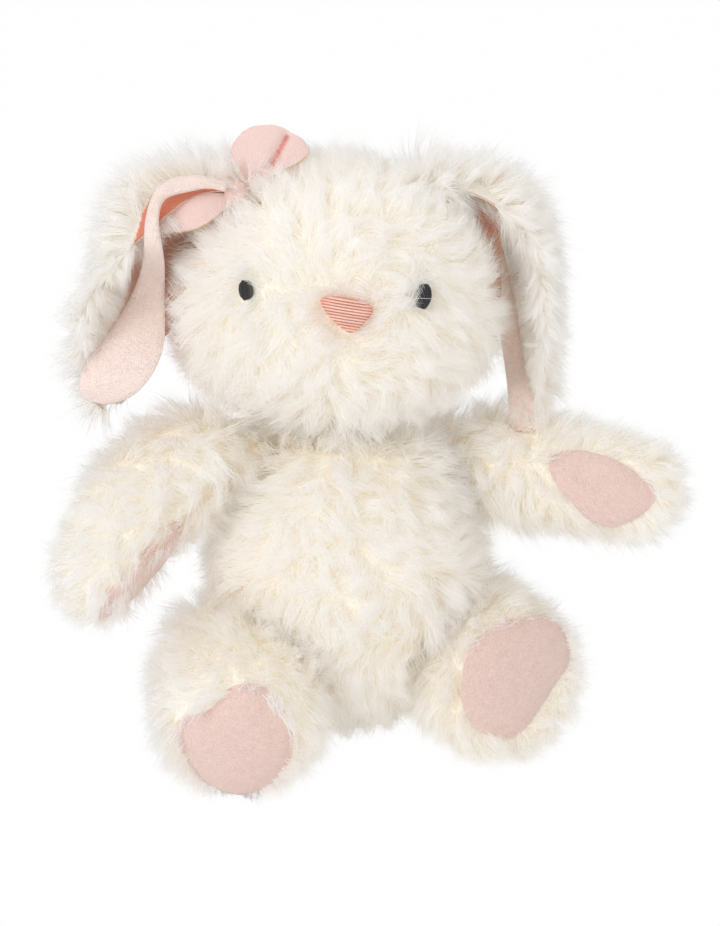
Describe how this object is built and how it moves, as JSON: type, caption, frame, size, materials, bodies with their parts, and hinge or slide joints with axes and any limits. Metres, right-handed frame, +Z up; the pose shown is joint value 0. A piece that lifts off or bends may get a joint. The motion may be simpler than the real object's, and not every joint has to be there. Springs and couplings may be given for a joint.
{
  "type": "plush rabbit toy",
  "caption": "Seated plush rabbit with floppy lined ears, a felt bow and embroidered face; head, ears, arms, legs and tail move on sewn seams.",
  "frame": {"origin": "middle of the flat seat under the torso", "axes": "+Z up, -Y the way the bunny faces, +X to its own left"},
  "size_m": [0.2019, 0.1166, 0.2106],
  "materials": {
    "pile_fabric": "long soft creamy white pile",
    "velour": "short smooth pale pink nap",
    "felt": "pale pink felt with a fine pale gold edge",
    "pink_thread": "rows of satin stitches",
    "black_thread": "satin stitches with a silky sheen",
    "fibre_fill": "loose white polyester fibre",
    "pouch_cloth": "plain woven cotton",
    "pellets": "small rounded beads"
  },
  "bodies": {
    "torso": {"torso_front_panel": "pile_fabric", "torso_back_left_panel": "pile_fabric", "torso_back_right_panel": "pile_fabric", "base_panel": "pile_fabric", "torso_fill": "fibre_fill", "pellet_pouch": "pouch_cloth", "pellets": "pellets"},
    "neck": {"neck_fill": "fibre_fill"},
    "head": {"face_panel": "pile_fabric", "head_left_panel": "pile_fabric", "head_right_panel": "pile_fabric", "head_back_panel": "pile_fabric", "head_fill": "fibre_fill", "left_eye": "black_thread", "right_eye": "black_thread", "nose": "pink_thread"},
    "ear_left": {"left_ear_back": "pile_fabric", "left_ear_lining": "velour"},
    "ear_right": {"right_ear_back": "pile_fabric", "right_ear_lining": "velour"},
    "bow": {"bow_upper_loop": "felt", "bow_lower_petal": "felt", "bow_knot": "felt"},
    "arm_left": {"left_arm_outer_panel": "pile_fabric", "left_arm_inner_panel": "pile_fabric", "left_arm_pad": "velour", "left_arm_fill": "fibre_fill"},
    "leg_left": {"left_leg_upper_panel": "pile_fabric", "left_leg_lower_panel": "pile_fabric", "left_leg_sole": "velour", "left_leg_fill": "fibre_fill"},
    "arm_right": {"right_arm_outer_panel": "pile_fabric", "right_arm_inner_panel": "pile_fabric", "right_arm_pad": "velour", "right_arm_fill": "fibre_fill"},
    "leg_right": {"right_leg_upper_panel": "pile_fabric", "right_leg_lower_panel": "pile_fabric", "right_leg_sole": "velour", "right_leg_fill": "fibre_fill"},
    "tail": {"tail_cover": "pile_fabric", "tail_fill": "fibre_fill"}
  },
  "joints": [
    {"name": "neck_turn", "type": "hinge", "parent": "torso", "child": "neck", "pos_m": [-0.002, 0, 0.11], "axis": [0, 0, 1], "range_deg": [-35, 35]},
    {"name": "neck_nod", "type": "hinge", "parent": "neck", "child": "head", "pos_m": [-0.002, 0, 0.11], "axis": [0.9659, -0.2588, 0], "range_deg": [-9, 6]},
    {"name": "ear_left_flop", "type": "hinge", "parent": "head", "child": "ear_left", "pos_m": [0.02746, 0.00021, 0.18626], "axis": [-0.1219, -0.9925, 0], "range_deg": [0, 70]},
    {"name": "ear_right_flop", "type": "hinge", "parent": "head", "child": "ear_right", "pos_m": [-0.03257, 0.00927, 0.18748], "axis": [0.0872, 0.9962, 0], "range_deg": [-4, 64]},
    {"name": "bow_twist", "type": "hinge", "parent": "head", "child": "bow", "pos_m": [-0.03894, -0.00782, 0.19162], "axis": [-0.2865, -0.8818, 0.3746], "range_deg": [-3, 6]},
    {"name": "shoulder_left", "type": "hinge", "parent": "torso", "child": "arm_left", "pos_m": [0.03536, 0, 0.092], "axis": [0, 0, -1], "range_deg": [-20, 30]},
    {"name": "shoulder_right", "type": "hinge", "parent": "torso", "child": "arm_right", "pos_m": [-0.03483, 0, 0.098], "axis": [0, 0, 1], "range_deg": [-20, 30]},
    {"name": "hip_left", "type": "hinge", "parent": "torso", "child": "leg_left", "pos_m": [0.031, -0.001, 0.028], "axis": [0, 0, 1], "range_deg": [-8, 22]},
    {"name": "hip_right", "type": "hinge", "parent": "torso", "child": "leg_right", "pos_m": [-0.035, -0.001, 0.028], "axis": [0, 0, -1], "range_deg": [-8, 22]},
    {"name": "tail_wag", "type": "hinge", "parent": "torso", "child": "tail", "pos_m": [0, 0.03346, 0.027], "axis": [0, 0, 1], "range_deg": [-18, 18]}
  ]
}
